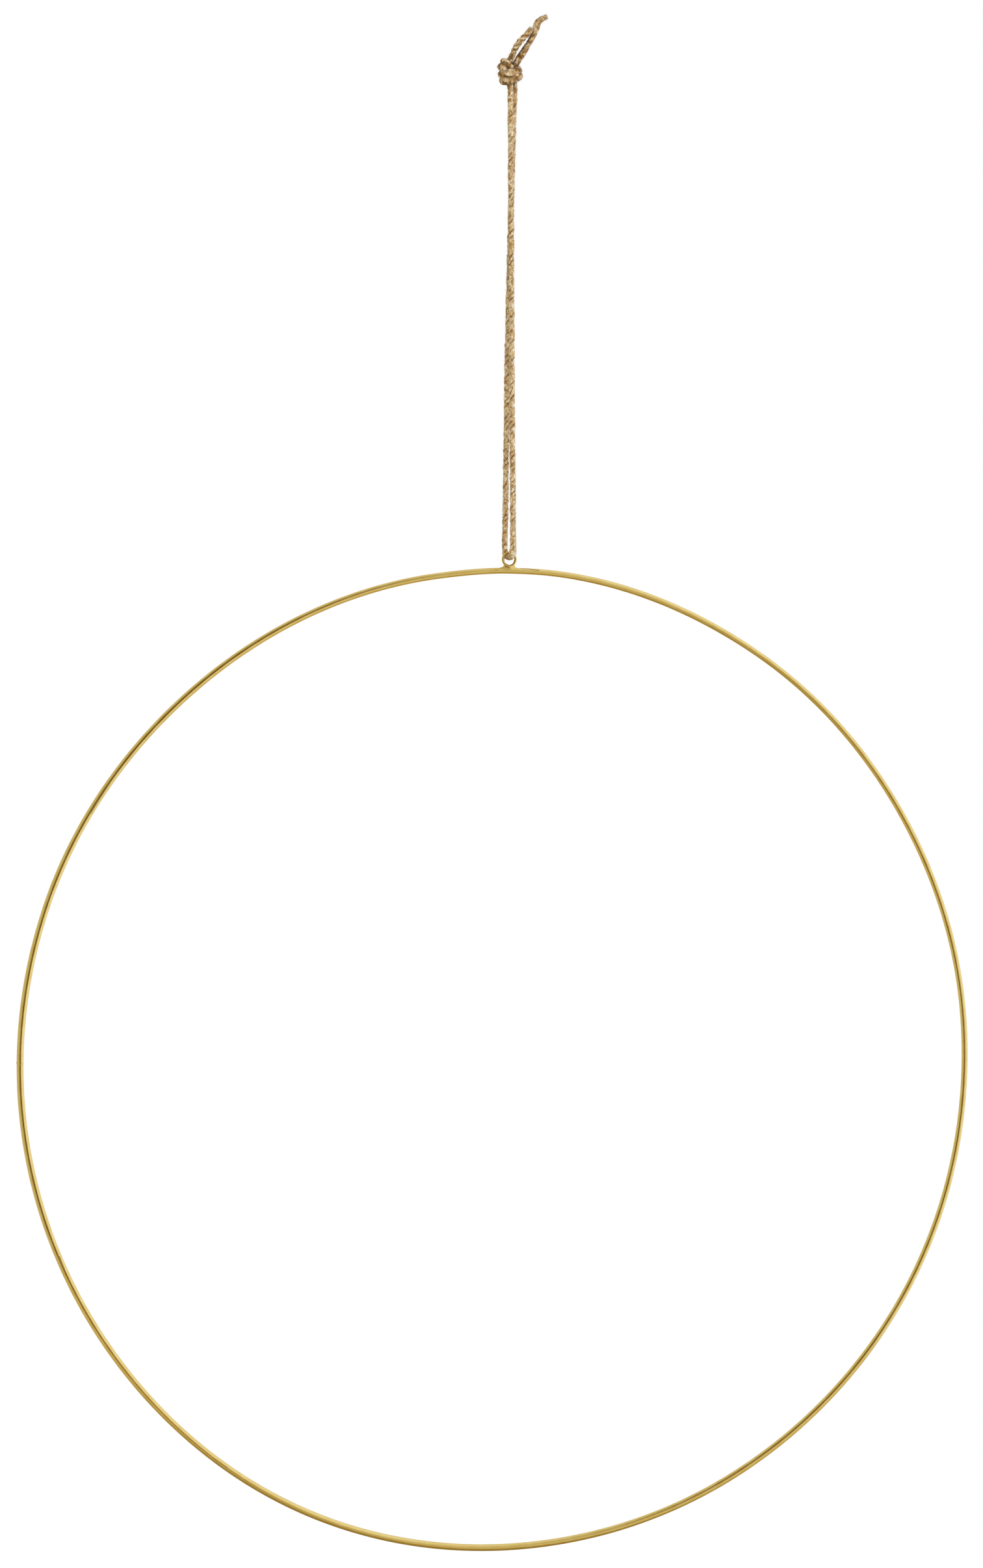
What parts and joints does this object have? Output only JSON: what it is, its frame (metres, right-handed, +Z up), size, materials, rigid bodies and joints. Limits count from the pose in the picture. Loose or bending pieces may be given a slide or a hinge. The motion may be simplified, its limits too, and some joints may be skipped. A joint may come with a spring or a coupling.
{
  "type": "wreath frame",
  "caption": "Round brass wire wreath frame with a small brazed eyelet, hanging from a knotted loop of jute cord.",
  "frame": {"origin": "the hang point: between the two legs of the cord, just under their knot", "axes": "+Z up; the hoop hangs straight below in the XZ plane, so its axis is Y and its front faces -Y; +X to the right seen from the front"},
  "size_m": [0.5001, 0.0128, 0.7823],
  "materials": {
    "hoop_brass": "satin",
    "eyelet_brass": "satin",
    "braze_metal": "matte",
    "jute": "matte"
  },
  "bodies": {
    "cord_top": {"cord_knot": "jute", "cord_tail_short": "jute", "cord_tail_long": "jute"},
    "cord_drop": {"cord_front_leg": "jute", "cord_back_leg": "jute"},
    "cord_bight": {"cord_bight": "jute"},
    "hoop": {"hoop_wire": "hoop_brass", "hoop_butt_weld": "braze_metal", "eyelet_ring": "eyelet_brass", "eyelet_braze": "braze_metal"}
  },
  "joints": [
    {"name": "side_swing", "type": "hinge", "parent": "cord_top", "child": "cord_drop", "pos_m": [0, 0, 0], "axis": [0, 1, 0], "range_deg": [-30, 30]},
    {"name": "hoop_turn", "type": "hinge", "parent": "cord_drop", "child": "cord_bight", "pos_m": [0, 0, -0.2218], "axis": [0, 0, 1], "range_deg": [-180, 180]},
    {"name": "hoop_tilt", "type": "hinge", "parent": "cord_bight", "child": "hoop", "pos_m": [0, 0, -0.2381], "axis": [1, 0, 0], "range_deg": [-90, 90]}
  ]
}
